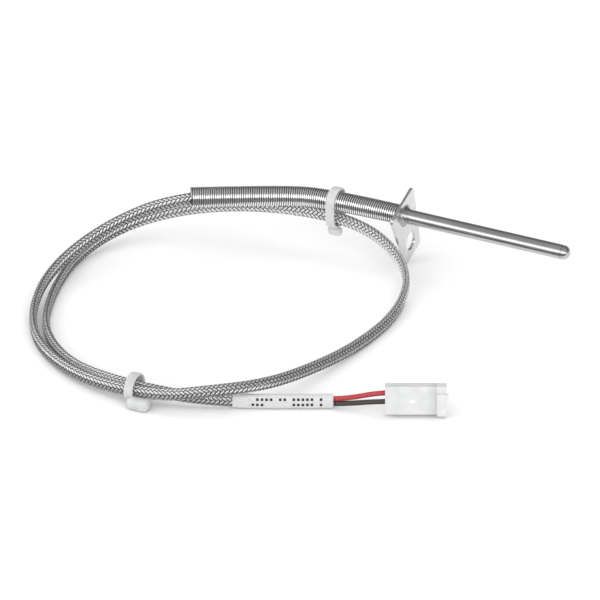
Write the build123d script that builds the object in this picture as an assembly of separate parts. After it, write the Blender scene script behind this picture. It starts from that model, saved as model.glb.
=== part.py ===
"""Fixed-flange thermocouple with a strain-relief spring and a coiled, armoured two-core lead.

Frame: millimetres, +Z up. The origin is the centre of the flange's front face on the sheath's axis.
+X runs along the sheath towards its tip. The lead, its lower tie and the connector lie on FLOOR_Z.
"""
from build123d import *
import math
import os

os.makedirs("parts", exist_ok=True)

# Driving dimensions
SHEATH_R = 2.0
SHEATH_WALL = 0.35
SHEATH_BORE_R = SHEATH_R - SHEATH_WALL
SHEATH_REACH = 49.0
SHEATH_REAR_X = -9.0
SHEATH_SEAT_R = 1.8
TIP_SPIGOT = 2.0

FLANGE_THICK = 0.8
FLANGE_WIDE = 14.2
FLANGE_NARROW = 9.0
FLANGE_LENGTH = 19.3
FLANGE_NEAR = 4.5
FLANGE_CORNER = 1.3
FLANGE_ROLL = 20.0
HOLE_R = 2.6
HOLE_REACH = 9.8
COLLAR_R = 3.05
COLLAR_REACH = 1.3
COLLAR_SHOULDER = 0.3

SPRING_R = 2.75
SPRING_WIRE = 0.6
SPRING_BORE_R = SPRING_R - SPRING_WIRE
SPRING_END = (-56.5, -16.175, 0.04)
FERRULE_GAP = 0.02
FERRULE_WALL = 0.2
FERRULE_LENGTH = 5.0

FLOOR_Z = -15.2
LEAD_HEIGHT = 3.7
LEAD_THICK = 2.1
LEAD_WALL = 0.2
# A second path this far above the lead's own keeps its flat oval upright
GUIDE_LIFT = 10.0
WIRE_R = 0.7
WIRE_PITCH = 1.46
WIRE_START_X = -9.2
WIRES_APART_X = 3.5
WIRE_IN_HOUSING = 6.0
SLEEVE_HEIGHT = 4.2
SLEEVE_THICK = 2.6
SLEEVE_GAP = 0.1
SLEEVE_LENGTH = 26.9
FLOOR_RUN_Z = FLOOR_Z + LEAD_HEIGHT / 2
SLEEVE_Z = FLOOR_Z + SLEEVE_HEIGHT / 2

CORE_WIRE_R = 0.2
CORE_BORE_R = 0.25
CORE_PITCH = 1.1
BEAD_RADIUS = 1.5
BEAD_LENGTH = 11.9
BEAD_COUNT = 4
BEAD_GAP = 0.2
BEADS_START_X = -5.0
JUNCTION_R = 0.95
JUNCTION_LENGTH = 1.4
JUNCTION_FILLET = 0.55

HOUSING_LENGTH = 16.3
HOUSING_HEIGHT = 7.7
HOUSING_THICK = 4.2
HOUSING_LEAN = 12.0
CAVITY_PITCH = 2.5
CAVITY_OFFSET = 0.6
CAVITY_SIDE = 2.0
SOCKET_DEPTH = 5.5
SOCKET_WALL = 0.7
RIB_LENGTH = 2.6
RIB_STEP = 0.3
RIB_TOP = 1.9
NIB_LIFT = 0.6
NIB_HEIGHT = 2.5
NIB_REACH = 0.6
NIB_LENGTH = 3.0
EDGE_R = 0.35
TERMINAL_START = 6.2
BARREL_LENGTH = 3.0
BARREL_R = 0.85
BARREL_BORE_R = 0.35
RECEPTACLE_LENGTH = 5.0
RECEPTACLE_SIDE = 1.7
RECEPTACLE_BORE = 1.1
TIE_WIDTH = 2.6
TIE_THICK = 0.9
TIE_CORNER_SLACK = 0.02
# Each tie's inside width and height, its centre, and its head's centre and size
TIE_UPPER_INSIDE = (6.1, 10.0)
TIE_UPPER_CENTRE = (-20.7, -0.25, -2.2)
TIE_UPPER_HEAD = ((-20.7, -0.6, -9.1), (4.0, 2.4, 2.4))
TIE_LOWER_INSIDE = (6.3, 6.3)
TIE_LOWER_CENTRE = (-30.5, -100.45, FLOOR_Z + TIE_THICK + TIE_LOWER_INSIDE[1] / 2)
TIE_LOWER_HEAD = ((-27.3, -104.5, -13.55), (6.6, 3.4, 3.2))
HEAD_CORNER = 0.6

# The lead's route, from the sheath's rear to the sleeve
ROUTE = [
    (-9.5, 0, 0),
    (-23, 0, 0),
    (-36, -4.4, 0),
    (-59.5, -17.9, 0.1),
    (-73, -33, -4.4),
    (-80.3, -52.6, -10.2),
    (-75.7, -73.5, FLOOR_RUN_Z),
    (-63.2, -90.3, FLOOR_RUN_Z),
    (-43.4, -101.2, -12.4),
    (-21.5, -102, -11),
    (-9, -98, -8.4),
    (1, -89, -8.6),
    (5.5, -74.5, -11),
    (10.3, -51.8, FLOOR_RUN_Z),
    (12, -27.8, FLOOR_RUN_Z),
    (5.6, -8.2, -11),
    (-11, 0.3, -5.7),
    (-33.5, -1.7, -4.3),
    (-56.5, -7, -6.6),
    (-74, -17.5, -10.8),
    (-80.3, -36.2, FLOOR_RUN_Z),
    (-76.3, -59.2, FLOOR_RUN_Z),
    (-68.3, -79.9, FLOOR_RUN_Z),
    (-52.9, -93.8, FLOOR_RUN_Z),
    (-31.4, -100.6, -11.0),
    (-9.8, -95.2, SLEEVE_Z),
    (6.6, -86.75, SLEEVE_Z),
]
# The sleeve and the housing each start at a point and run along a level direction
SLEEVE_START = Vector(-5.4, -92.95, SLEEVE_Z)
SLEEVE_DIR = Vector(24.0, 12.25, 0).normalized()
HOUSING_DIR = Vector(14.6, 7.3, 0).normalized()
LEAN_SIN = math.sin(math.radians(HOUSING_LEAN))
LEAN_COS = math.cos(math.radians(HOUSING_LEAN))
HOUSING_BACK = Vector(-HOUSING_DIR.Y, HOUSING_DIR.X, 0) * LEAN_COS - Vector(0, 0, LEAN_SIN)
HOUSING_UP = HOUSING_DIR.cross(HOUSING_BACK)
HOUSING_RISE = (HOUSING_HEIGHT / 2 + RIB_STEP) * LEAN_COS + HOUSING_THICK / 2 * LEAN_SIN
HOUSING_START = Vector(32.2, -77.45, FLOOR_Z + HOUSING_RISE)


def polyline_with_arcs(points, name):
    """Straight runs joined by arcs, each as large as 0.45 of its shorter run allows."""
    corners = [Vector(*p) for p in points]
    radii = []
    for before, here, after in zip(corners, corners[1:], corners[2:]):
        shorter = min((here - before).length, (after - here).length)
        turn = math.radians((here - before).get_angle(after - here))
        radii.append(0.45 * shorter / math.tan(turn / 2))
    print(name, "radii", [round(r, 1) for r in radii])
    return FilletPolyline(*points, radius=radii)


def lifted(points, dz):
    return [(p[0], p[1], p[2] + dz) for p in points]


def stadium(height, thick):
    """A flat oval on the YZ plane, its long side along Z."""
    return Plane.YZ * Rot(0, 0, 90) * SlotOverall(height, thick)


def save(node, shape):
    solids = shape.solids()
    shape = solids[0] if len(solids) == 1 else Compound(children=list(solids))
    shape.label = node
    export_step(shape, f"parts/{node}.step")


def along_x(radius, x0, x1, y=0.0, z=0.0):
    return Pos((x0 + x1) / 2, y, z) * Rot(0, 90, 0) * Cylinder(radius, x1 - x0)


def sheath():
    tube_end = SHEATH_REACH - SHEATH_R
    tube = along_x(SHEATH_SEAT_R, SHEATH_REAR_X, COLLAR_REACH) + along_x(SHEATH_R, COLLAR_REACH, tube_end)
    save("sheath_tube", tube - along_x(SHEATH_BORE_R, SHEATH_REAR_X, tube_end))
    dome = Pos(tube_end, 0, 0) * Sphere(SHEATH_R)
    half_space = Pos(tube_end + SHEATH_R, 0, 0) * Box(2 * SHEATH_R, 3 * SHEATH_R, 3 * SHEATH_R)
    tip = (dome & half_space) + along_x(SHEATH_BORE_R, tube_end - TIP_SPIGOT, tube_end)
    save("sheath_tip", tip)


def sensing_core():
    """Junction bead, two element wires, two-bore insulators and the seal that closes the sheath."""
    junction_x = SHEATH_REACH - SHEATH_R - TIP_SPIGOT - JUNCTION_LENGTH
    wire_end = junction_x + JUNCTION_LENGTH / 2
    bead_x = BEADS_START_X
    for i in range(BEAD_COUNT):
        bead = along_x(BEAD_RADIUS, bead_x, bead_x + BEAD_LENGTH)
        for side in (-1, 1):
            bead -= along_x(CORE_BORE_R, bead_x, bead_x + BEAD_LENGTH, z=side * CORE_PITCH / 2)
        save(f"ceramic_insulator_{i + 1}", bead)
        bead_x += BEAD_LENGTH + BEAD_GAP
    junction = along_x(JUNCTION_R, junction_x, junction_x + JUNCTION_LENGTH)
    junction = fillet(junction.edges().filter_by(GeomType.CIRCLE), JUNCTION_FILLET)
    seal = along_x(SHEATH_BORE_R, SHEATH_REAR_X, BEADS_START_X)
    for side, name in ((1, "element_wire_positive"), (-1, "element_wire_negative")):
        wire = along_x(CORE_WIRE_R, WIRE_START_X, wire_end, z=side * CORE_PITCH / 2)
        junction -= wire
        seal -= wire
        save(name, wire)
    save("measuring_junction", junction)
    save("rear_seal", seal)


def flange():
    near = -FLANGE_NEAR
    far = FLANGE_LENGTH - FLANGE_NEAR
    corners = [
        (-FLANGE_WIDE / 2, -near),
        (FLANGE_WIDE / 2, -near),
        (FLANGE_NARROW / 2, -far),
        (-FLANGE_NARROW / 2, -far),
    ]
    outline = make_face(Polyline(*corners, close=True))
    outline = fillet(outline.vertices(), FLANGE_CORNER)
    outline -= Circle(COLLAR_R)
    outline -= Pos(0, -HOLE_REACH) * Circle(HOLE_R)
    plate = extrude(Plane.YZ * Rot(0, 0, FLANGE_ROLL) * outline, FLANGE_THICK)
    save("mounting_flange", Pos(-FLANGE_THICK, 0, 0) * plate)
    profile = [
        (-FLANGE_THICK, SHEATH_SEAT_R),
        (-FLANGE_THICK, COLLAR_R),
        (0, COLLAR_R),
        (COLLAR_SHOULDER, COLLAR_R - COLLAR_SHOULDER),
        (COLLAR_REACH, SHEATH_R),
        (COLLAR_REACH, SHEATH_SEAT_R),
    ]
    section = make_face(Plane.XY * Polyline(*profile, close=True))
    save("flange_collar", revolve(section, Axis.X))


def spring():
    """The spring's envelope: a bent tube from the flange's back to its free end."""
    path = polyline_with_arcs([(-FLANGE_THICK, 0, 0), *ROUTE[1:3], SPRING_END], "spring")
    ring = Plane.YZ * (Circle(SPRING_R) - Circle(SPRING_BORE_R))
    save("strain_relief_spring", sweep(Pos(-FLANGE_THICK, 0, 0) * ring, path=path))
    inside = 2 * FERRULE_GAP
    outside = inside + 2 * FERRULE_WALL
    band = stadium(LEAD_HEIGHT + outside, LEAD_THICK + outside)
    band -= stadium(LEAD_HEIGHT + inside, LEAD_THICK + inside)
    save("crimp_ferrule", Pos(ROUTE[0][0] - FERRULE_LENGTH, 0, 0) * extrude(band, FERRULE_LENGTH))


def lead():
    path = polyline_with_arcs(ROUTE, "lead")
    guide = polyline_with_arcs(lifted(ROUTE, GUIDE_LIFT), "guide")
    outer = Pos(*ROUTE[0]) * stadium(LEAD_HEIGHT, LEAD_THICK)
    inner = Pos(*ROUTE[0]) * stadium(LEAD_HEIGHT - 2 * LEAD_WALL, LEAD_THICK - 2 * LEAD_WALL)
    armour = sweep(outer, path=path, binormal=guide.wire()) - sweep(inner, path=path, binormal=guide.wire())
    expected = (outer.area - inner.area) * path.length
    print("lead length", round(path.length, 1), "volume", round(armour.volume, 1),
          "expected", round(expected, 1))
    save("armoured_lead", armour)


def wires():
    for side, name in ((1, "wire_red"), (-1, "wire_black")):
        lift = side * WIRE_PITCH / 2
        cavity = HOUSING_UP * (CAVITY_OFFSET + side * CAVITY_PITCH / 2)
        points = [(WIRE_START_X, 0, lift)] + lifted(ROUTE[1:], lift)
        points += [
            tuple(SLEEVE_START + SLEEVE_DIR * (SLEEVE_LENGTH + WIRES_APART_X) + Vector(0, 0, lift)),
            tuple(HOUSING_START - HOUSING_DIR + cavity),
            tuple(HOUSING_START + HOUSING_DIR * WIRE_IN_HOUSING + cavity),
        ]
        path = polyline_with_arcs(points, name)
        section = Plane(origin=points[0], z_dir=(1, 0, 0)) * Circle(WIRE_R)
        wire = sweep(section, path=path)
        print(name, "length", round(path.length, 1), "volume", round(wire.volume, 1),
              "expected", round(math.pi * WIRE_R**2 * path.length, 1))
        save(name, wire)


def sleeve():
    end = SLEEVE_START + SLEEVE_DIR * SLEEVE_LENGTH
    plane = Plane(origin=SLEEVE_START, x_dir=(-SLEEVE_DIR.Y, SLEEVE_DIR.X, 0), z_dir=SLEEVE_DIR)
    outer = plane * Rot(0, 0, 90) * SlotOverall(SLEEVE_HEIGHT, SLEEVE_THICK)
    inner = plane * Rot(0, 0, 90) * SlotOverall(LEAD_HEIGHT + 2 * SLEEVE_GAP, LEAD_THICK + 2 * SLEEVE_GAP)
    print("sleeve end", end)
    save("label_sleeve", extrude(outer - inner, SLEEVE_LENGTH))


def housing_plane(along, lift=0.0):
    origin = HOUSING_START + HOUSING_DIR * along + HOUSING_UP * lift
    return Plane(origin=origin, x_dir=HOUSING_BACK, z_dir=HOUSING_DIR)


def housing():
    """Two-way housing: a block with a cavity per terminal, an open socket, a front rib and a locking nib."""
    section = RectangleRounded(HOUSING_THICK, HOUSING_HEIGHT, EDGE_R)
    body = extrude(housing_plane(0) * section, HOUSING_LENGTH)
    rib_height = RIB_TOP + HOUSING_HEIGHT / 2 + RIB_STEP
    rib_section = Pos(-RIB_STEP / 2, RIB_TOP - rib_height / 2) * Rectangle(HOUSING_THICK + RIB_STEP, rib_height)
    body += extrude(housing_plane(HOUSING_LENGTH - RIB_LENGTH) * rib_section, RIB_LENGTH)
    nib_section = Pos(-HOUSING_THICK / 2, NIB_LIFT) * Rectangle(2 * NIB_REACH, NIB_HEIGHT)
    body += extrude(housing_plane(HOUSING_LENGTH - RIB_LENGTH) * nib_section, NIB_LENGTH)
    for side in (-1, 1):
        lift = CAVITY_OFFSET + side * CAVITY_PITCH / 2
        body -= extrude(housing_plane(0, lift) * Rectangle(CAVITY_SIDE, CAVITY_SIDE), HOUSING_LENGTH)
    socket = Rectangle(HOUSING_THICK - 2 * SOCKET_WALL, HOUSING_HEIGHT - 2 * SOCKET_WALL)
    body -= extrude(housing_plane(HOUSING_LENGTH - SOCKET_DEPTH) * socket, SOCKET_DEPTH)
    save("connector_housing", body)
    for side, name in ((1, "terminal_red"), (-1, "terminal_black")):
        lift = CAVITY_OFFSET + side * CAVITY_PITCH / 2
        ring = Circle(BARREL_R) - Circle(BARREL_BORE_R)
        barrel = extrude(housing_plane(TERMINAL_START, lift) * ring, BARREL_LENGTH)
        receptacle = Rectangle(RECEPTACLE_SIDE, RECEPTACLE_SIDE) - Rectangle(RECEPTACLE_BORE, RECEPTACLE_BORE)
        plane = housing_plane(TERMINAL_START + BARREL_LENGTH, lift)
        save(name, barrel + extrude(plane * receptacle, RECEPTACLE_LENGTH))


def tie(name, centre, inside, head):
    """A closed band in a YZ plane round a bundle, with its ratchet head."""
    width, height = inside
    head_centre, head_size = head
    plane = Plane(origin=centre, x_dir=(0, 1, 0), z_dir=(1, 0, 0))
    reach = min(width, height) / 2 - TIE_CORNER_SLACK
    inner = RectangleRounded(width, height, reach)
    outer = RectangleRounded(width + 2 * TIE_THICK, height + 2 * TIE_THICK, reach + TIE_THICK)
    band = extrude(plane * outer, TIE_WIDTH / 2, both=True)
    opening = extrude(plane * inner, 2 * TIE_WIDTH, both=True)
    block = fillet((Pos(*head_centre) * Box(*head_size)).edges(), HEAD_CORNER)
    save(name, band + block - opening)


def ties():
    tie("cable_tie_upper", TIE_UPPER_CENTRE, TIE_UPPER_INSIDE, TIE_UPPER_HEAD)
    tie("cable_tie_lower", TIE_LOWER_CENTRE, TIE_LOWER_INSIDE, TIE_LOWER_HEAD)


sheath()
sensing_core()
flange()
spring()
lead()
wires()
sleeve()
housing()
ties()
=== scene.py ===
"""Looks for the fixed-flange thermocouple: steel probe, wound spring, braided lead and two-way connector.

Metres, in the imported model's frame. +X runs along the sheath to its tip, +Z up from the floor.
"""
import math

import bmesh
import bpy
import numpy as np
from mathutils import Matrix, Vector, noise


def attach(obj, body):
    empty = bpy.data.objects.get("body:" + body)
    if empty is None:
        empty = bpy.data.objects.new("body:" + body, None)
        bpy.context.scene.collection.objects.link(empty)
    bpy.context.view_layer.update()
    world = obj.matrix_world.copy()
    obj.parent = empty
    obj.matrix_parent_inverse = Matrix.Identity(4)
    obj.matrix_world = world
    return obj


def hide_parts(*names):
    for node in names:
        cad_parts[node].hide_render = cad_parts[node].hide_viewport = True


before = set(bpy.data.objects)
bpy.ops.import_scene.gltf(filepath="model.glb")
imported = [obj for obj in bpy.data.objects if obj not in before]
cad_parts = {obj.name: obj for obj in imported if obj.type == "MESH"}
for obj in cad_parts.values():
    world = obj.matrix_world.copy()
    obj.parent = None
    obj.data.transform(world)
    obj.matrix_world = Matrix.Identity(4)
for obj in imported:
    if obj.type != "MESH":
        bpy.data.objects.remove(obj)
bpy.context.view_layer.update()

MM = 0.001
FLOOR_Z = -15.2 * MM

# Sheath, flange and collar, in millimetres along X and by radius
TUBE_REAR = -9.0
TUBE_FRONT = 47.0
TUBE_R = 2.0
TUBE_BORE = 1.65
SEAT_R = 1.8
COLLAR_FRONT = 1.3
SEAM_R = 1.72
SPIGOT_REAR = 45.0
FLANGE_THICK = 0.8
FLANGE_CORNERS = [(-7.1, 4.5), (7.1, 4.5), (4.5, -14.8), (-4.5, -14.8)]
FLANGE_CORNER_R = 1.3
FLANGE_HOLES = [(0.0, 3.05), (-9.8, 2.6)]
FLANGE_EDGE = 0.12
FLANGE_ROLL = math.radians(20.0)

SPRING_R = 2.75 * MM
SPRING_WIRE_R = 0.295 * MM
# The coil's turns stand a little apart by the flange and close up towards the free end
PITCH_AT_FLANGE = 0.645 * MM
PITCH_AT_END = 0.592 * MM
WIRE_FLATTEN = 0.62

LEAD_HEIGHT = 3.7 * MM
LEAD_THICK = 2.1 * MM
CORE_SINK = 0.36 * MM
CARRIERS_EACH_WAY = 8
RIBBON_WIDTH = 0.74 * MM
RIBBON_SINK = 0.02 * MM
WEAVE_DEPTH = 0.1 * MM

WIRE_R = 0.7 * MM
WIRE_LIFT = 0.73 * MM
STRANDS = 6
STRAND_PITCH = 1.1 * MM
STRAND_DEPTH = 0.035 * MM

TIE_WIDTH = 2.6 * MM
TIE_THICK = 0.9 * MM
TIE_CORNER_SLACK = 0.03 * MM
TIE_FLATTEN = (0.45, 0.6)
TIE_RIDGES = 26
TIE_RIDGE_DEPTH = 0.07 * MM
HEAD_ROUNDING = 0.42
POCKET_RIM = 0.2 * MM
POCKET_SLOPE = 0.1 * MM
POCKET_DEPTH = 0.35 * MM

SLEEVE_HEIGHT = 4.2 * MM
SLEEVE_THICK = 2.6 * MM
SLEEVE_LENGTH = 26.9 * MM
SLEEVE_OVER_LEAD = 13.5 * MM
SLEEVE_WALL = 0.2 * MM
SLEEVE_EDGE = 0.06 * MM
SLEEVE_LINING = 1.5 * MM
SLEEVE_RIPPLE = 0.07 * MM
SLEEVE_RIPPLES_PER_METRE = 420

# The sleeve's printed dashes: two rows, placed by shares of the way round it and by distance along it
DASH_ROWS_MIDDLE = 0.1
DASH_ROW_OFFSET = 0.06875
DASH_HALF_HEIGHT = 0.03375
DASH_PITCH = 1.2 * MM
DASH_HALF_WIDTH = 0.3
DASH_SHARE_LEFT_OUT = 0.3
DASH_BLANK_COLUMN = 9.0
DASHES_MIDDLE = 14.4 * MM
DASHES_REACH = 9.9 * MM

# Brightness by angle over the part, as a share of the half turn from the front horizon
WORLD_BANDS = [(0.0, 0.2), (0.05, 0.5), (0.09, 1.0), (0.18, 1.0), (0.24, 0.36), (0.34, 0.2), (0.5, 0.22),
               (0.64, 0.14), (0.78, 0.07), (0.93, 0.16), (1.0, 0.2)]
WORLD_STRENGTH = 2.3
FLOOR_HALF = 3.0
FLOOR_DROP = 0.02 * MM
CARD_LIFT = 0.03 * MM
CARD_HALF_WIDTH = 0.8
CARD_FRONT_Y = -1.2
CARD_BACK_Y = -0.019
CARD_GLOW = 0.22
LIGHT_AIM = Vector((-0.02, -0.045, -0.01))
CAMERA_AZIMUTH = math.radians(26.5)
CAMERA_ELEVATION = math.radians(28.0)
CAMERA_AIM = Vector((-20.53, -22.09, -19.95)) * MM
CAMERA_DISTANCE = 5.0
VIEW_WIDTH = 160.858 * MM
SENSOR_WIDTH = 36.0

# Heights of the lead's and the sleeve's middle where they lie on the floor
RUN_Z = FLOOR_Z + LEAD_HEIGHT / 2
SLEEVE_Z = FLOOR_Z + SLEEVE_HEIGHT / 2
# The lead's route is the CAD lead's. The spring bends with its first stretch
LEAD_ROUTE = [
    (-0.0095, 0, 0), (-0.023, 0, 0), (-0.036, -0.0044, 0), (-0.0595, -0.0179, 0.0001),
    (-0.073, -0.033, -0.0044), (-0.0803, -0.0526, -0.0102), (-0.0757, -0.0735, RUN_Z),
    (-0.0632, -0.0903, RUN_Z), (-0.0434, -0.1012, -0.0124), (-0.0215, -0.102, -0.011),
    (-0.009, -0.098, -0.0084), (0.001, -0.089, -0.0086), (0.0055, -0.0745, -0.011),
    (0.0103, -0.0518, RUN_Z), (0.012, -0.0278, RUN_Z), (0.0056, -0.0082, -0.011),
    (-0.011, 0.0003, -0.0057), (-0.0335, -0.0017, -0.0043), (-0.0565, -0.007, -0.0066),
    (-0.074, -0.0175, -0.0108), (-0.0803, -0.0362, RUN_Z), (-0.0763, -0.0592, RUN_Z),
    (-0.0683, -0.0799, RUN_Z), (-0.0529, -0.0938, RUN_Z), (-0.0314, -0.1006, -0.011),
    (-0.0098, -0.0952, SLEEVE_Z), (0.0066, -0.08675, SLEEVE_Z),
]
SPRING_ROUTE = [(-0.0008, 0, 0), (-0.023, 0, 0), (-0.036, -0.0044, 0), (-0.0565, -0.016175, 0.00004)]
SLEEVE_START = Vector((-0.0054, -0.09295, SLEEVE_Z))
SLEEVE_DIR = Vector((24.0, 12.25, 0)).normalized()
HOUSING_START = Vector((0.0322, -0.07745, -0.010704))
HOUSING_DIR = Vector((14.6, 7.3, 0)).normalized()
HOUSING_LENGTH = 16.3 * MM
# The housing leans back about its own length
HOUSING_LEAN = math.radians(12.0)
HOUSING_SIDE = Vector((-HOUSING_DIR.y, HOUSING_DIR.x, 0))
HOUSING_BACK = HOUSING_SIDE * math.cos(HOUSING_LEAN) - Vector((0, 0, math.sin(HOUSING_LEAN)))
HOUSING_UP = HOUSING_DIR.cross(HOUSING_BACK)
HOUSING_EDGE = 0.12 * MM
CAVITY_LIFTS = (1.85 * MM, -0.65 * MM)
# A pale oval spot painted on the housing's front face: its middle and half sizes, as a share of the length
# and by height
PALE_SPOT_ALONG = 0.44
PALE_SPOT_HALF_ALONG = 0.045
PALE_SPOT_HEIGHT = -0.2 * MM
PALE_SPOT_HALF_HEIGHT = 0.35 * MM


# ---------------------------------------------------------------- node helpers
def new_material(name):
    material = bpy.data.materials.new(name)
    material.use_nodes = True
    return material, material.node_tree, material.node_tree.nodes["Principled BSDF"]


def add(tree, kind, props=None, **inputs):
    """Adds a node with its settings and inputs: i0, i1 and so on are sockets by number, others by name."""
    node = tree.nodes.new(kind)
    for key, value in (props or {}).items():
        setattr(node, key, value)
    for key, value in inputs.items():
        socket = node.inputs[int(key[1:])] if key[0] == "i" and key[1:].isdigit() else node.inputs[key]
        if isinstance(value, bpy.types.NodeSocket):
            tree.links.new(value, socket)
        else:
            socket.default_value = value
    return node


def maths(tree, operation, a, b=0.0, c=0.0):
    return add(tree, "ShaderNodeMath", {"operation": operation}, i0=a, i1=b, i2=c).outputs[0]


def ramp(tree, value, stops):
    node = add(tree, "ShaderNodeValToRGB", i0=value)
    elements = node.color_ramp.elements
    while len(elements) < len(stops):
        elements.new(0.5)
    for element, (place, colour) in zip(elements, stops):
        element.position = place
        element.color = (*colour, 1)
    return node.outputs[0]


def grey(value):
    return (value, value, value)


def multiply_colours(tree, colour, shade):
    props = {"data_type": "RGBA", "blend_type": "MULTIPLY"}
    return add(tree, "ShaderNodeMix", props, i0=1.0, i6=colour, i7=shade).outputs[2]


def uv_place(tree):
    """The two parts of the piece's UV place."""
    coords = add(tree, "ShaderNodeTexCoord").outputs["UV"]
    return add(tree, "ShaderNodeSeparateXYZ", Vector=coords).outputs[:2]


def bump(tree, shader, height, distance):
    node = add(tree, "ShaderNodeBump", Height=height, Distance=distance, Strength=1.0)
    tree.links.new(node.outputs[0], shader.inputs["Normal"])


def object_noise(tree, scale, detail, stretch=(1, 1, 1)):
    coords = add(tree, "ShaderNodeTexCoord").outputs["Object"]
    mapped = add(tree, "ShaderNodeMapping", Vector=coords, Scale=stretch).outputs[0]
    return add(tree, "ShaderNodeTexNoise", Vector=mapped, Scale=scale, Detail=detail).outputs["Fac"]


def steel(name, dark, light, rough_low, rough_high, scale, stretch=(1, 1, 1), depth=0.004 * MM):
    """Bare metal: drawn or rolled lines by the stretch, cloudy colour, uneven polish."""
    material, tree, shader = new_material(name)
    shader.inputs["Metallic"].default_value = 1.0
    lines = object_noise(tree, scale, 4.0, stretch)
    clouds = object_noise(tree, 260.0, 3.0)
    mixed = maths(tree, "ADD", maths(tree, "MULTIPLY", lines, 0.6), maths(tree, "MULTIPLY", clouds, 0.4))
    tree.links.new(ramp(tree, mixed, [(0.3, dark), (0.7, light)]), shader.inputs["Base Color"])
    rough = add(tree, "ShaderNodeMapRange", i0=mixed, i1=0.3, i2=0.7, i3=rough_low, i4=rough_high)
    tree.links.new(rough.outputs[0], shader.inputs["Roughness"])
    bump(tree, shader, lines, depth)
    return material


def darken_by(attribute, material, stops):
    """Paints shade: multiplies a material's colour by a ramp over a point attribute of the mesh."""
    tree = material.node_tree
    socket = tree.nodes["Principled BSDF"].inputs["Base Color"]
    colour = socket.links[0].from_socket
    shade = ramp(tree, add(tree, "ShaderNodeAttribute", {"attribute_name": attribute}).outputs["Fac"], stops)
    tree.links.new(multiply_colours(tree, colour, shade), socket)


def store(obj, attribute, values):
    """Keeps one number for each point of the mesh, for its material to read."""
    data = obj.data.attributes.new(attribute, "FLOAT", "POINT").data
    data.foreach_set("value", np.asarray(values, dtype=np.float32))


def braid_steel():
    """Ribbons of five wires side by side: UV x runs across the ribbon and y along it."""
    material, tree, shader = new_material("braid_wire")
    shader.inputs["Metallic"].default_value = 0.85
    u, _ = uv_place(tree)
    across = maths(tree, "MULTIPLY", u, 5 * math.pi)
    # Each ribbon's colour darkens between its five wires, painted shade in the creases, times random cloudy
    # tone
    wire = maths(tree, "ABSOLUTE", maths(tree, "SINE", across))
    clouds = object_noise(tree, 900.0, 2.0)
    shade = maths(tree, "MULTIPLY", wire, maths(tree, "ADD", clouds, 0.45))
    colour = ramp(tree, shade, [(0.05, grey(0.45)), (0.35, grey(0.8)), (0.8, grey(0.97))])
    tree.links.new(colour, shader.inputs["Base Color"])
    # Painted shade: ribbons darken where they dip under the crossing ones, as shade falls between the floats
    darken_by("over", material, [(0.1, grey(0.03)), (0.5, grey(0.16)), (0.85, grey(1.0))])
    rough = add(tree, "ShaderNodeMapRange", i0=clouds, i1=0.2, i2=0.8, i3=0.16, i4=0.32)
    tree.links.new(rough.outputs[0], shader.inputs["Roughness"])
    bump(tree, shader, wire, 0.03 * MM)
    return material


def woven(name, dark, light):
    """Lacquered woven sleeving: two crossing sets of strands in UV (turns round, metres along)."""
    material, tree, shader = new_material(name)
    u, v = uv_place(tree)
    round_it = maths(tree, "MULTIPLY", u, 2 * math.pi * STRANDS)
    along = maths(tree, "MULTIPLY", v, 2 * math.pi / STRAND_PITCH)
    one = maths(tree, "SINE", maths(tree, "ADD", round_it, along))
    two = maths(tree, "SINE", maths(tree, "SUBTRACT", round_it, along))
    # The colour darkens where neither strand set rises, painted shade in the gaps of the weave
    weave = maths(tree, "MULTIPLY_ADD", maths(tree, "MAXIMUM", one, two), 0.5, 0.5)
    tree.links.new(ramp(tree, weave, [(0.35, dark), (0.95, light)]), shader.inputs["Base Color"])
    shader.inputs["Roughness"].default_value = 0.42
    shader.inputs["Coat Weight"].default_value = 0.25
    shader.inputs["Coat Roughness"].default_value = 0.3
    bump(tree, shader, weave, 0.1 * MM)
    return material


def nylon(name, dark, light):
    """Moulded translucent nylon: soft scatter, faint flow clouds and a fine mould skin."""
    material, tree, shader = new_material(name)
    clouds = object_noise(tree, 320.0, 3.0)
    tree.links.new(ramp(tree, clouds, [(0.3, dark), (0.7, light)]), shader.inputs["Base Color"])
    shader.inputs["Subsurface Weight"].default_value = 0.3
    shader.inputs["Subsurface Radius"].default_value = (0.9, 0.9, 0.85)
    shader.inputs["Subsurface Scale"].default_value = 0.8 * MM
    shader.inputs["IOR"].default_value = 1.53
    fine = object_noise(tree, 3200.0, 2.0)
    rough = add(tree, "ShaderNodeMapRange", i0=fine, i1=0.3, i2=0.7, i3=0.28, i4=0.42)
    tree.links.new(rough.outputs[0], shader.inputs["Roughness"])
    bump(tree, shader, fine, 0.012 * MM)
    return material


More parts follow.
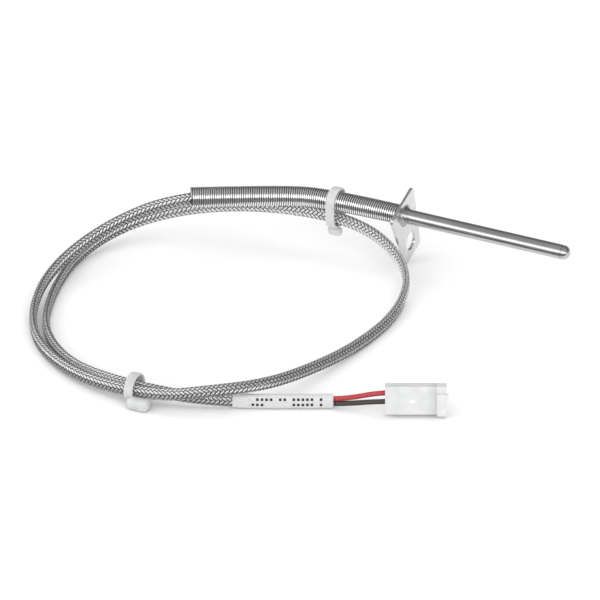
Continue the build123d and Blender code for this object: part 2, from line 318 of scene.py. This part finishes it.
def shade_housing(material):
    """Painted shade along the housing: a little darker at the rear end and darker just behind the rib, back
    to full on the rib; and a pale oval spot on the front face.
    """
    tree = material.node_tree
    socket = tree.nodes["Principled BSDF"].inputs["Base Color"]
    nylon_colour = socket.links[0].from_socket
    coords = add(tree, "ShaderNodeTexCoord").outputs["Object"]

    def vector_maths(operation, a, b):
        return add(tree, "ShaderNodeVectorMath", {"operation": operation}, i0=a, i1=tuple(b)).outputs

    from_start = vector_maths("SUBTRACT", coords, HOUSING_START)[0]

    def measure(direction):
        return vector_maths("DOT_PRODUCT", from_start, direction)["Value"]

    along = maths(tree, "DIVIDE", measure(HOUSING_DIR), HOUSING_LENGTH)
    # Painted shade along the housing: darker at the rear end and just behind the rib
    painted_rib_shade = ramp(tree, along, [(0.0, grey(0.93)), (0.06, grey(0.98)), (0.66, grey(0.98)), (0.8, grey(0.84)),
                              (0.835, grey(0.78)), (0.845, grey(1.0))])
    shaded = multiply_colours(tree, nylon_colour, painted_rib_shade)
    # A pale oval spot painted on the front face
    x = maths(tree, "DIVIDE", maths(tree, "SUBTRACT", along, PALE_SPOT_ALONG), PALE_SPOT_HALF_ALONG)
    y = maths(tree, "DIVIDE", maths(tree, "SUBTRACT", measure(HOUSING_UP), PALE_SPOT_HEIGHT), PALE_SPOT_HALF_HEIGHT)
    spread = maths(tree, "ADD", maths(tree, "MULTIPLY", x, x), maths(tree, "MULTIPLY", y, y))
    on_front = maths(tree, "LESS_THAN", measure(HOUSING_BACK), 0.0)
    pale_spot = maths(tree, "MULTIPLY", maths(tree, "LESS_THAN", spread, 1.0), on_front)
    marked = add(tree, "ShaderNodeMix", {"data_type": "RGBA"}, i0=pale_spot, i6=shaded, i7=(0.84, 0.84, 0.84, 1))
    tree.links.new(marked.outputs[2], socket)


def plain(name, dark, light, rough, scale, depth):
    """A dull mineral or rubber surface with a fine grain."""
    material, tree, shader = new_material(name)
    grain = object_noise(tree, scale, 4.0)
    tree.links.new(ramp(tree, grain, [(0.35, dark), (0.65, light)]), shader.inputs["Base Color"])
    shader.inputs["Roughness"].default_value = rough
    bump(tree, shader, grain, depth)
    return material


def shrink_sleeve():
    """White heat-shrink with two rows of plain printed dashes; UV x is round it, y metres along it."""
    material, tree, shader = new_material("shrink_sleeve")
    u, v = uv_place(tree)
    grain = object_noise(tree, 1500.0, 3.0)
    clean = ramp(tree, grain, [(0.3, (0.54, 0.54, 0.55)), (0.7, (0.61, 0.61, 0.62))])
    shader.inputs["Roughness"].default_value = 0.5
    cell = maths(tree, "DIVIDE", v, DASH_PITCH)
    column = maths(tree, "FLOOR", cell)
    chance = add(tree, "ShaderNodeTexWhiteNoise", {"noise_dimensions": "1D"}, W=column).outputs["Color"]
    chances = add(tree, "ShaderNodeSeparateColor", Color=chance).outputs
    height = maths(tree, "SUBTRACT", u, DASH_ROWS_MIDDLE)
    rows = []
    for row, offset in enumerate((DASH_ROW_OFFSET, -DASH_ROW_OFFSET)):
        band = maths(tree, "COMPARE", height, offset, DASH_HALF_HEIGHT)
        printed = maths(tree, "GREATER_THAN", chances[row], DASH_SHARE_LEFT_OUT)
        rows.append(maths(tree, "MULTIPLY", band, printed))
    width = maths(tree, "COMPARE", maths(tree, "FRACT", cell), 0.5, DASH_HALF_WIDTH)
    dash = maths(tree, "MULTIPLY", maths(tree, "MAXIMUM", rows[0], rows[1]), width)
    inside = maths(tree, "COMPARE", v, DASHES_MIDDLE, DASHES_REACH)
    from_blank = maths(tree, "ABSOLUTE", maths(tree, "SUBTRACT", column, DASH_BLANK_COLUMN))
    shown = maths(tree, "MULTIPLY", inside, maths(tree, "GREATER_THAN", from_blank, 0.5))
    ink = maths(tree, "MULTIPLY", dash, shown)
    mix = add(tree, "ShaderNodeMix", {"data_type": "RGBA"}, i0=ink, i6=clean, i7=(0.02, 0.02, 0.022, 1))
    tree.links.new(mix.outputs[2], shader.inputs["Base Color"])
    bump(tree, shader, grain, 0.02 * MM)
    return material


# ---------------------------------------------------------------- mesh helpers
def enter(name, mesh, nodes):
    """Puts a mesh in the scene as a piece that rides on the body and stands for CAD nodes."""
    obj = bpy.data.objects.new(name, mesh)
    bpy.context.collection.objects.link(obj)
    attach(obj, "root")
    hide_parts(*nodes)
    return obj


def piece(name, verts, faces, materials, nodes, uvs=None, face_materials=None, crease=None):
    mesh = bpy.data.meshes.new(name)
    mesh.from_pydata([tuple(v) for v in verts], [], faces)
    if uvs is not None:
        layer = mesh.uv_layers.new(name="UVMap")
        index = np.empty(len(mesh.loops), dtype=np.int32)
        mesh.loops.foreach_get("vertex_index", index)
        layer.data.foreach_set("uv", np.asarray(uvs, dtype=np.float32)[index].ravel())
    for material in materials:
        mesh.materials.append(material)
    if face_materials is not None:
        mesh.polygons.foreach_set("material_index", face_materials)
    mesh.shade_smooth()
    if crease is not None:
        mesh.set_sharp_from_angle(angle=math.radians(crease))
    return enter(name, mesh, nodes)


def grid_faces(rows, columns, first=0):
    """Quads of a rows by columns grid of vertices, each row a ring."""
    faces = []
    for r in range(rows - 1):
        for c in range(columns):
            a = first + r * columns + c
            b = first + r * columns + (c + 1) % columns
            faces.append((a, b, b + columns, a + columns))
    return faces


def end_faces(rows, columns, first=0):
    """One face over the grid's first row and one over its last."""
    last = first + (rows - 1) * columns
    return [tuple(range(first, first + columns)), tuple(range(last, last + columns))[::-1]]


def closing_faces(rows, columns):
    """Quads that join the grid's last row to its first."""
    last = (rows - 1) * columns
    return [(last + c, last + (c + 1) % columns, (c + 1) % columns, c) for c in range(columns)]


def face_outwards(obj, merge=False):
    """Turns the faces outwards and, if asked, merges doubled points first."""
    bm = bmesh.new()
    bm.from_mesh(obj.data)
    if merge:
        bmesh.ops.remove_doubles(bm, verts=bm.verts, dist=1e-7)
        bmesh.ops.dissolve_degenerate(bm, edges=bm.edges, dist=1e-8)
    bmesh.ops.recalc_face_normals(bm, faces=bm.faces)
    bm.to_mesh(obj.data)
    bm.free()


def squared(turn, cosine_power, sine_power):
    """Cosine and sine with powers below 1, which flatten the sides of a round section."""
    cosine = math.copysign(abs(math.cos(turn)) ** cosine_power, math.cos(turn))
    sine = math.copysign(abs(math.sin(turn)) ** sine_power, math.sin(turn))
    return cosine, sine


def lathe(name, profile, material, nodes, segments=96):
    """Turns a profile of (x, radius) in mm about X: a closed one makes a ring, an open one a solid."""
    ring = profile[0] == profile[-1]
    if ring:
        profile = profile[:-1]
    verts = []
    for x, radius in profile:
        for i in range(segments):
            turn = 2 * math.pi * i / segments
            verts.append((x * MM, radius * MM * math.cos(turn), radius * MM * math.sin(turn)))
    faces = grid_faces(len(profile), segments)
    faces += closing_faces(len(profile), segments) if ring else end_faces(len(profile), segments)
    face_outwards(piece(name, verts, faces, [material], nodes, crease=35), merge=True)


def spline_points(name, route):
    """The points that Blender gives for the route's NURBS line."""
    curve = bpy.data.curves.new(name, "CURVE")
    curve.dimensions = "3D"
    spline = curve.splines.new("NURBS")
    spline.points.add(len(route) - 1)
    for point, place in zip(spline.points, route):
        point.co = (*place, 1)
    spline.order_u = 3
    spline.use_endpoint_u = True
    spline.resolution_u = 32
    obj = bpy.data.objects.new(name, curve)
    mesh = bpy.data.meshes.new_from_object(obj)
    points = np.array([v.co for v in mesh.vertices])
    bpy.data.objects.remove(obj)
    bpy.data.meshes.remove(mesh)
    return points


class Line:
    """A smooth line read by distance along it: place, tangent, side and up."""

    def __init__(self, points):
        self.points = points
        steps = np.linalg.norm(np.diff(points, axis=0), axis=1)
        self.at = np.concatenate([[0], np.cumsum(steps)])
        self.length = self.at[-1]
        self.tangents = np.gradient(points, self.at, axis=0)

    def read(self, distance):
        place = np.stack([np.interp(distance, self.at, self.points[:, i]) for i in range(3)], axis=-1)
        tangent = np.stack([np.interp(distance, self.at, self.tangents[:, i]) for i in range(3)], axis=-1)
        tangent /= np.linalg.norm(tangent, axis=-1, keepdims=True)
        side = np.cross(tangent, np.array([0.0, 0.0, 1.0]))
        side /= np.linalg.norm(side, axis=-1, keepdims=True)
        return place, tangent, side, np.cross(side, tangent)


def stadium_point(around, height, thick):
    """Place and outward normal on a flat oval, by distance round it (side, up)."""
    radius = thick / 2
    flat = height - thick
    half_turn = math.pi * radius
    total = 2 * flat + 2 * half_turn
    d = np.mod(around, total)
    side = np.empty_like(d)
    up = np.empty_like(d)
    n_side = np.empty_like(d)
    n_up = np.empty_like(d)
    right = d < flat
    top = (d >= flat) & (d < flat + half_turn)
    left = (d >= flat + half_turn) & (d < 2 * flat + half_turn)
    low = d >= 2 * flat + half_turn
    side[right], up[right], n_side[right], n_up[right] = radius, (d - flat / 2)[right], 1, 0
    turn = ((d - flat) / radius)[top]
    side[top], up[top] = radius * np.cos(turn), flat / 2 + radius * np.sin(turn)
    n_side[top], n_up[top] = np.cos(turn), np.sin(turn)
    side[left], up[left], n_side[left], n_up[left] = -radius, (flat / 2 - (d - flat - half_turn))[left], -1, 0
    turn = (math.pi + (d - 2 * flat - half_turn) / radius)[low]
    side[low], up[low] = radius * np.cos(turn), -flat / 2 + radius * np.sin(turn)
    n_side[low], n_up[low] = np.cos(turn), np.sin(turn)
    return side, up, n_side, n_up


def on_oval(line, along, around, height, thick, sink):
    """Points sunk below a flat oval's surface, by distance along the line and round the oval."""
    place, _, side, up = line.read(along)
    s, u, ns, nu = stadium_point(around, height, thick)
    s = s - ns * sink
    u = u - nu * sink
    return place + side * s[..., None] + up * u[..., None]


def oval_length(height, thick):
    return 2 * (height - thick) + math.pi * thick


# ---------------------------------------------------------------- materials
polished = steel("polished_sheath", grey(0.46), grey(0.58), 0.12, 0.22, 900.0, (0.04, 1, 1))
rolled = steel("rolled_flange", grey(0.63), grey(0.74), 0.2, 0.32, 700.0, (1, 1, 0.12), 0.006 * MM)
turned = steel("turned_collar", grey(0.34), grey(0.5), 0.14, 0.26, 900.0, (1, 0.1, 0.1))
spring_wire = steel("spring_wire", grey(0.84), grey(0.95), 0.12, 0.22, 1400.0)
# Painted shade: the spring wire's colour darkens away from the outer crest of each turn, into the grooves
# between turns
darken_by("crest", spring_wire, [(0.3, grey(0.02)), (0.72, grey(0.14)), (0.95, grey(1.0))])
braid = braid_steel()
# A near-black core under the ribbons that paints the shade in the braid's gaps
braid_gap_shade = plain("braid_gap_shade", grey(0.02), grey(0.06), 0.6, 2500.0, 0.02 * MM)
red_weave = woven("red_weave", (0.2, 0.008, 0.012), (0.58, 0.055, 0.07))
black_weave = woven("black_weave", (0.008, 0.0075, 0.007), (0.08, 0.07, 0.062))
sleeve_white = shrink_sleeve()
housing_nylon = nylon("housing_nylon", (0.6, 0.605, 0.605), (0.67, 0.675, 0.675))
shade_housing(housing_nylon)
tie_nylon = nylon("tie_nylon", (0.5, 0.505, 0.505), (0.6, 0.605, 0.605))
fired = plain("fired_ceramic", (0.82, 0.8, 0.75), (0.93, 0.91, 0.87), 0.7, 2200.0, 0.02 * MM)
alloy = steel("element_alloy", (0.36, 0.34, 0.31), (0.52, 0.5, 0.46), 0.25, 0.4, 1800.0)
potting = plain("potting", (0.62, 0.58, 0.48), (0.76, 0.72, 0.62), 0.6, 1800.0, 0.03 * MM)
crimp = steel("crimped_brass", (0.6, 0.45, 0.2), (0.8, 0.64, 0.34), 0.2, 0.35, 1500.0)


# ---------------------------------------------------------------- probe
def sheath():
    """The drawn tube, open at the rear, and its welded dome with a spigot and a groove at the seam."""
    tube = [
        (TUBE_REAR, TUBE_BORE), (TUBE_REAR, SEAT_R - 0.05), (TUBE_REAR + 0.05, SEAT_R),
        (COLLAR_FRONT - 0.02, SEAT_R), (COLLAR_FRONT, TUBE_R), (TUBE_FRONT - 0.28, TUBE_R),
        (TUBE_FRONT - 0.2, TUBE_R - 0.04), (TUBE_FRONT - 0.16, SEAM_R + 0.04), (TUBE_FRONT, SEAM_R),
        (TUBE_FRONT, TUBE_BORE),
    ]
    lathe("sheath", tube + tube[:1], polished, ["sheath_tube"])
    dome = [
        (SPIGOT_REAR, 0.0), (SPIGOT_REAR, TUBE_BORE), (TUBE_FRONT, TUBE_BORE), (TUBE_FRONT, SEAM_R),
        (TUBE_FRONT + 0.1, SEAM_R + 0.04), (TUBE_FRONT + 0.14, TUBE_R - 0.06),
        (TUBE_FRONT + 0.2, TUBE_R - 0.02),
    ]
    for i in range(2, 21):
        turn = math.pi / 2 * i / 20
        dome.append((TUBE_FRONT + TUBE_R * math.sin(turn), (TUBE_R - 0.005) * math.cos(turn)))
    lathe("sheath_dome", dome, polished, ["sheath_tip"])


def flange():
    """One-hole plate from a 2-D outline with rolled edges."""
    curve = bpy.data.curves.new("flange_outline", "CURVE")
    curve.dimensions = "2D"
    curve.fill_mode = "BOTH"
    curve.extrude = (FLANGE_THICK / 2 - FLANGE_EDGE) * MM
    curve.bevel_depth = FLANGE_EDGE * MM
    curve.bevel_resolution = 3
    curve.offset = -FLANGE_EDGE * MM
    rings = [rounded(FLANGE_CORNERS, FLANGE_CORNER_R)]
    for centre, radius in FLANGE_HOLES:
        turns = [2 * math.pi * i / 96 for i in range(96)]
        rings.append([(radius * math.cos(turn), centre + radius * math.sin(turn)) for turn in turns])
    for ring in rings:
        spline = curve.splines.new("POLY")
        spline.points.add(len(ring) - 1)
        spline.use_cyclic_u = True
        for point, (x, y) in zip(spline.points, ring):
            point.co = (x * MM, y * MM, 0, 1)
    flat = bpy.data.objects.new("flange_outline", curve)
    mesh = bpy.data.meshes.new_from_object(flat)
    bpy.data.objects.remove(flat)
    # The outline's x, y and thickness become the part's y, z and x
    to_face = Matrix(((0, 0, 1, 0), (1, 0, 0, 0), (0, 1, 0, 0), (0, 0, 0, 1)))
    roll = Matrix.Rotation(FLANGE_ROLL, 4, "X")
    mesh.transform(Matrix.Translation((-FLANGE_THICK / 2 * MM, 0, 0)) @ roll @ to_face)
    mesh.materials.clear()
    mesh.materials.append(rolled)
    mesh.shade_smooth()
    mesh.set_sharp_from_angle(angle=math.radians(25))
    face_outwards(enter("flange_plate", mesh, ["mounting_flange"]), merge=True)


def rounded(corners, radius, steps=10):
    """A polygon's points with each corner rounded to the radius."""
    points = []
    count = len(corners)
    for i in range(count):
        here = Vector(corners[i])
        before = (Vector(corners[i - 1]) - here).normalized()
        after = (Vector(corners[(i + 1) % count]) - here).normalized()
        half = before.angle(after) / 2
        centre = here + (before + after).normalized() * radius / math.sin(half)
        start = here + before * radius / math.tan(half) - centre
        end = here + after * radius / math.tan(half) - centre
        for k in range(steps + 1):
            points.append(tuple(centre + start.normalized().slerp(end.normalized(), k / steps) * radius))
    return points


def collar():
    """The brazed ring that fills the flange's hole and tapers down to the tube."""
    profile = [
        (-FLANGE_THICK, SEAT_R), (-FLANGE_THICK, 2.9), (-0.72, 3.04), (-0.1, 3.04), (-0.03, 2.98),
        (0.0, 2.86), (0.06, 2.78), (0.22, 2.74), (0.36, 2.62), (0.5, 2.42), (0.72, 2.24), (1.0, 2.12),
        (COLLAR_FRONT, TUBE_R + 0.01), (COLLAR_FRONT, SEAT_R),
    ]
    lathe("weld_collar", profile + profile[:1], turned, ["flange_collar"])


def wound_spring(line, per_turn=28, sides=12):
    """A coil round the line, its pitch changing evenly from end to end, with its wire's ends closed."""
    coil_radius = SPRING_R - SPRING_WIRE_R
    count = int(line.length / PITCH_AT_END * per_turn)
    along = np.linspace(SPRING_WIRE_R, line.length - SPRING_WIRE_R, count)
    place, tangent, side, up = line.read(along)
    change = (PITCH_AT_END - PITCH_AT_FLANGE) / line.length
    turn = 2 * math.pi / change * np.log(1 + change * along / PITCH_AT_FLANGE)
    out = side * np.cos(turn)[:, None] + up * np.sin(turn)[:, None]
    centre = place + out * coil_radius
    verts = []
    crest = []
    for k in range(sides):
        a = 2 * math.pi * (k + 0.5) / sides
        # How far each side of the wire faces outwards, for the painted shade in the grooves between turns
        crest.append(max(0.0, math.cos(a)))
        outwards, along_it = squared(a, WIRE_FLATTEN, WIRE_FLATTEN)
        verts.append(centre + SPRING_WIRE_R * (out * outwards + tangent * along_it))
    verts = np.stack(verts, axis=1).reshape(-1, 3)
    faces = grid_faces(count, sides) + end_faces(count, sides)
    obj = piece("wound_spring", verts, faces, [spring_wire], ["strain_relief_spring"])
    store(obj, "crest", np.tile(crest, count))


def braided_lead(line):
    """Flat oval lead: a near-black core, painted shade seen through the braid's gaps, and sixteen ribbons
    woven over two and under two.
    """
    total = oval_length(LEAD_HEIGHT, LEAD_THICK)
    step = total / (2 * CARRIERS_EACH_WAY)
    count = int(line.length / step) + 1
    sides = 14
    core_along = np.repeat(np.linspace(0, line.length, count), sides)
    around = np.tile(np.arange(sides) * total / sides, count)
    core = on_oval(line, core_along, around, LEAD_HEIGHT, LEAD_THICK, CORE_SINK)
    verts = [core]
    uvs = [np.zeros((len(core), 2))]
    over = [np.zeros(len(core))]
    faces = grid_faces(count, sides) + end_faces(count, sides)
    slots = [0] * len(faces)
    first = len(core)
    # A ribbon's section: across as a share of its width, depth in mm, and its UV x
    section = [
        (-0.5, 0.2, 0.0), (-0.3, 0.055, 0.2), (0.0, 0.0, 0.5),
        (0.3, 0.055, 0.8), (0.5, 0.2, 1.0), (0.0, 0.26, 0.5),
    ]
    samples = np.arange(count) * step
    for way in (1, -1):
        for carrier in range(CARRIERS_EACH_WAY):
            phase = 2 * carrier + way * samples / step
            height = way * np.cos(2 * math.pi * (phase - 0.5) / 4)
            ring = []
            ring_uv = []
            # How far the ribbon rides on top, for the painted shade on its under stretches
            over.append(np.repeat(np.clip(height * 0.72 + 0.5, 0, 1), len(section)))
            for across, drop, u in section:
                shift = across * RIBBON_WIDTH / math.sqrt(2)
                along = np.clip(samples - way * shift, 0, line.length)
                round_it = carrier * total / CARRIERS_EACH_WAY + way * samples + shift
                sink = RIBBON_SINK + (1 - height) * WEAVE_DEPTH + drop * MM
                ring.append(on_oval(line, along, round_it, LEAD_HEIGHT, LEAD_THICK, sink))
                ring_uv.append(np.stack([np.full(count, u), samples], axis=-1))
            verts.append(np.stack(ring, axis=1).reshape(-1, 3))
            uvs.append(np.stack(ring_uv, axis=1).reshape(-1, 2))
            added = grid_faces(count, len(section), first) + end_faces(count, len(section), first)
            faces.extend(added)
            slots.extend([1] * len(added))
            first += count * len(section)
    obj = piece("braided_lead", np.concatenate(verts), faces, [braid_gap_shade, braid],
                ["armoured_lead"], np.concatenate(uvs), slots, crease=60)
    store(obj, "over", np.concatenate(over))
    face_outwards(obj)
    return obj


def woven_wire(name, lift, cavity_lift, material, node, count=220, sides=24):
    """The stretch of wire from inside the sleeve to inside the housing."""
    raise_by = Vector((0, 0, lift))
    cavity = HOUSING_START + HOUSING_UP * cavity_lift
    route = [
        SLEEVE_START + SLEEVE_DIR * (SLEEVE_LENGTH * 0.55) + raise_by,
        SLEEVE_START + SLEEVE_DIR * (SLEEVE_LENGTH * 0.8) + raise_by,
        SLEEVE_START + SLEEVE_DIR * (SLEEVE_LENGTH + 3.5 * MM) + raise_by,
        cavity - HOUSING_DIR * MM,
        cavity + HOUSING_DIR * (6 * MM),
    ]
    line = Line(spline_points(name, route))
    along = np.linspace(0, line.length, count)
    place, _, side, up = line.read(along)
    twist = 2 * math.pi * along / STRAND_PITCH
    rings = []
    uvs = []
    for k in range(sides):
        a = 2 * math.pi * k / sides
        weave = np.maximum(np.sin(STRANDS * a + twist), np.sin(STRANDS * a - twist))
        radius = WIRE_R - STRAND_DEPTH * (1 - weave)
        rings.append(place + (side * math.cos(a) + up * math.sin(a)) * radius[:, None])
        uvs.append(np.stack([np.full(count, k / sides), along], axis=-1))
    verts = np.stack(rings, axis=1).reshape(-1, 3)
    faces = grid_faces(count, sides) + end_faces(count, sides)
    obj = piece(name, verts, faces, [material], [node], np.stack(uvs, axis=1).reshape(-1, 2), crease=60)
    face_outwards(obj)
    return obj


def sleeve(lead_line, count=70, sides=64):
    """Heat-shrink sleeve, tight and slightly wavy over the lead's end and the wires, open at both ends."""
    covered = lead_line.points[lead_line.at > lead_line.length - SLEEVE_OVER_LEAD]
    line = Line(np.vstack([covered, tuple(SLEEVE_START + SLEEVE_DIR * SLEEVE_LENGTH)]))
    length = line.length
    total = oval_length(SLEEVE_HEIGHT, SLEEVE_THICK)
    around = np.arange(sides) * total / sides
    lining = SLEEVE_WALL + 0.05 * MM
    # Each row: its distance along, how deep it lies, and whether it is on the wavy outside
    rear = [(SLEEVE_LINING, lining, False), (0.0, SLEEVE_WALL, False), (SLEEVE_EDGE, SLEEVE_EDGE, False)]
    front = [(length - along, sink, outside) for along, sink, outside in reversed(rear)]
    rows = rear + [(length * i / count, 0.0, True) for i in range(1, count)] + front
    verts = []
    uvs = []
    for along, sink, outside in rows:
        ripple = np.zeros(sides)
        if outside:
            for k in range(sides):
                turn = 2 * math.pi * k / sides
                spot = Vector((along * SLEEVE_RIPPLES_PER_METRE, math.cos(turn), math.sin(turn)))
                ripple[k] = max(0.0, (noise.noise(spot) + 0.5) * SLEEVE_RIPPLE)
        verts.append(on_oval(line, np.full(sides, along), around, SLEEVE_HEIGHT, SLEEVE_THICK, sink + ripple))
        uvs.append(np.stack([around / total, np.full(sides, along)], axis=-1))
    faces = grid_faces(len(rows), sides) + closing_faces(len(rows), sides)
    obj = piece("shrink_sleeve", np.concatenate(verts), faces, [sleeve_white],
                ["label_sleeve"], np.concatenate(uvs), crease=50)
    face_outwards(obj)
    return obj


def tie_head(centre, size):
    """The ratchet head: a well-rounded block with a shallow pocket underneath."""
    block = bmesh.new()
    bmesh.ops.create_cube(block, size=1.0)
    bmesh.ops.scale(block, vec=Vector(size) * MM, verts=block.verts)
    rounding = HEAD_ROUNDING * min(size) * MM
    bmesh.ops.bevel(block, geom=block.edges[:], offset=rounding, segments=7, profile=0.5, affect="EDGES")
    block.normal_update()
    underside = min(block.faces, key=lambda f: f.normal.z * f.calc_area())
    bmesh.ops.inset_individual(block, faces=[underside], thickness=POCKET_RIM)
    bmesh.ops.inset_individual(block, faces=[underside], thickness=POCKET_SLOPE, depth=-POCKET_DEPTH)
    block.transform(Matrix.Translation(Vector(centre) * MM))
    mesh = bpy.data.meshes.new("tie_head")
    block.to_mesh(mesh)
    block.free()
    return mesh


def cable_tie(name, node, centre, inside, head_centre, head_size, count=220, sides=20):
    """A closed strap with rounded edges and ridges across its face, and a ratchet head with its pocket."""
    centre = Vector(centre) * MM
    half_y, half_z = ((v * MM + TIE_THICK) / 2 for v in inside)
    corners = [(-half_y, -half_z), (half_y, -half_z), (half_y, half_z), (-half_y, half_z)]
    loop = rounded(corners, min(half_y, half_z) - TIE_CORNER_SLACK, 24)
    path = Line(np.array([(0.0, y, z) for y, z in loop + loop[:1]]))
    section = []
    for k in range(sides):
        across, out = squared(2 * math.pi * (k + 0.5) / sides, *TIE_FLATTEN)
        section.append((across * TIE_WIDTH / 2, out * TIE_THICK / 2))

    def spot(distance):
        return Vector([np.interp(distance, path.at, path.points[:, i]) for i in range(3)])

    bm = bmesh.new()
    made = []
    near = 0.05 * MM
    for d in np.arange(count) * path.length / count:
        here = centre + spot(d)
        tangent = (spot((d + near) % path.length) - spot((d - near) % path.length)).normalized()
        normal = Vector((0, tangent.z, -tangent.y))
        ridge = 0.5 + 0.5 * math.sin(2 * math.pi * TIE_RIDGES * d / path.length)
        for across, out in section:
            on_face = out > 0.3 * TIE_THICK and abs(across) < 0.36 * TIE_WIDTH
            lower = TIE_RIDGE_DEPTH * ridge if on_face else 0.0
            made.append(bm.verts.new(here + Vector((across, 0, 0)) + normal * (out - lower)))
    for face in grid_faces(count, sides) + closing_faces(count, sides):
        bm.faces.new([made[i] for i in face])
    head = tie_head(head_centre, head_size)
    bm.from_mesh(head)
    bpy.data.meshes.remove(head)
    bmesh.ops.recalc_face_normals(bm, faces=bm.faces)
    mesh = bpy.data.meshes.new(name)
    bm.to_mesh(mesh)
    bm.free()
    mesh.materials.append(tie_nylon)
    mesh.shade_smooth()
    mesh.set_sharp_from_angle(angle=math.radians(50))
    return enter(name, mesh, [node])


def repaint(node, material, edge=None):
    """A CAD node keeps its shape and gets a material and, if asked, softened edges."""
    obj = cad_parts[node]
    obj.material_slots[0].material = material
    if edge:
        bevel = obj.modifiers.new("soft_edges", "BEVEL")
        bevel.width = edge
        bevel.segments = 3
        bevel.limit_method = "ANGLE"
        bevel.angle_limit = math.radians(35)
        bevel.harden_normals = True
    return obj


sheath()
flange()
collar()
wound_spring(Line(spline_points("spring_line", SPRING_ROUTE)))
lead_points = spline_points("lead_line", LEAD_ROUTE)
lead_line = Line(lead_points)
lead = braided_lead(lead_line)
wires = [
    woven_wire("red_lead", WIRE_LIFT, CAVITY_LIFTS[0], red_weave, "wire_red"),
    woven_wire("black_lead", -WIRE_LIFT, CAVITY_LIFTS[1], black_weave, "wire_black"),
]
label = sleeve(lead_line)
housing = repaint("connector_housing", housing_nylon, HOUSING_EDGE)
ties = [
    cable_tie("upper_tie", "cable_tie_upper", centre=(-20.7, -0.25, -2.2), inside=(6.1, 10.0),
              head_centre=(-20.7, -0.6, -9.1), head_size=(4.0, 2.4, 2.4)),
    cable_tie("lower_tie", "cable_tie_lower", centre=(-30.5, -100.45, -11.15), inside=(6.3, 6.3),
              head_centre=(-27.3, -104.5, -13.55), head_size=(6.6, 3.4, 3.2)),
]
terminals = [repaint(n, crimp) for n in ("terminal_red", "terminal_black")]
for number in range(1, 5):
    repaint(f"ceramic_insulator_{number}", fired)
for node in ("element_wire_positive", "element_wire_negative", "measuring_junction"):
    repaint(node, alloy)
repaint("rear_seal", potting)
repaint("crimp_ferrule", crimp)


# ---------------------------------------------------------------- floor, light and camera
def level_sheet(name, material, x, y, z):
    """A flat sheet for the stage, from its two limits in x and in y."""
    mesh = bpy.data.meshes.new(name)
    mesh.from_pydata([(x[0], y[0], z), (x[1], y[0], z), (x[1], y[1], z), (x[0], y[1], z)], [], [(0, 1, 2, 3)])
    mesh.materials.append(material)
    obj = bpy.data.objects.new(name, mesh)
    bpy.context.collection.objects.link(obj)
    return obj


def floor():
    material, _, shader = new_material("pale_floor")
    shader.inputs["Base Color"].default_value = (0.95, 0.95, 0.95, 1)
    shader.inputs["Roughness"].default_value = 0.9
    reach = (-FLOOR_HALF, FLOOR_HALF)
    level_sheet("floor", material, reach, reach, FLOOR_Z - FLOOR_DROP)


def reflection_card():
    """A grey card in front of the part that only reflections see, as a photographer lays one down."""
    material, _, shader = new_material("grey_card")
    shader.inputs["Base Color"].default_value = (0, 0, 0, 1)
    shader.inputs["Roughness"].default_value = 1.0
    shader.inputs["Emission Color"].default_value = (1, 1, 1, 1)
    shader.inputs["Emission Strength"].default_value = CARD_GLOW
    width = (-CARD_HALF_WIDTH, CARD_HALF_WIDTH)
    card = level_sheet("grey_card", material, width, (CARD_FRONT_Y, CARD_BACK_Y), FLOOR_Z + CARD_LIFT)
    for ray in ("camera", "diffuse", "transmission", "volume_scatter", "shadow"):
        setattr(card, "visible_" + ray, False)


def light(name, place, size, energy):
    data = bpy.data.lights.new(name, "AREA")
    data.shape = "RECTANGLE"
    data.size, data.size_y = size
    data.energy = energy
    obj = bpy.data.objects.new(name, data)
    obj.location = place
    obj.rotation_euler = (LIGHT_AIM - Vector(place)).to_track_quat("-Z", "Y").to_euler()
    obj.visible_glossy = False
    obj.visible_camera = False
    bpy.context.collection.objects.link(obj)


def camera():
    """A long lens from the photo's side, so the view is nearly without perspective."""
    level = Vector((math.sin(CAMERA_AZIMUTH), -math.cos(CAMERA_AZIMUTH), 0))
    away = level * math.cos(CAMERA_ELEVATION) + Vector((0, 0, math.sin(CAMERA_ELEVATION)))
    data = bpy.data.cameras.new("camera")
    data.sensor_width = SENSOR_WIDTH
    data.lens = SENSOR_WIDTH * CAMERA_DISTANCE / VIEW_WIDTH
    data.clip_end = 100.0
    obj = bpy.data.objects.new("camera", data)
    obj.location = CAMERA_AIM + away * CAMERA_DISTANCE
    obj.rotation_euler = away.to_track_quat("Z", "Y").to_euler()
    bpy.context.collection.objects.link(obj)
    bpy.context.scene.camera = obj


def studio_world():
    """A dim studio with a broad bright band in front, by elevation from front horizon to back."""
    world = bpy.data.worlds.new("studio")
    world.use_nodes = True
    tree = world.node_tree
    coords = add(tree, "ShaderNodeTexCoord").outputs["Generated"]
    direction = add(tree, "ShaderNodeSeparateXYZ", Vector=coords).outputs
    front = maths(tree, "MULTIPLY", direction[1], -1.0)
    over = maths(tree, "DIVIDE", maths(tree, "ARCTAN2", direction[2], front), math.pi)
    node = add(tree, "ShaderNodeMath", {"operation": "MULTIPLY", "use_clamp": True}, i0=over, i1=1.0)
    shades = ramp(tree, node.outputs[0], [(place, grey(value)) for place, value in WORLD_BANDS])
    tree.links.new(shades, tree.nodes["Background"].inputs[0])
    tree.nodes["Background"].inputs[1].default_value = WORLD_STRENGTH
    bpy.context.scene.world = world


floor()
reflection_card()
light("key", (-0.3, -0.2, 0.9), (1.9, 1.9), 6.6)
light("fill", (0.6, -0.5, 0.45), (1.2, 1.2), 2.2)
light("back", (0.1, 0.6, 0.6), (1.5, 1.2), 4.2)
studio_world()
bpy.context.scene.view_settings.view_transform = "Standard"
camera()
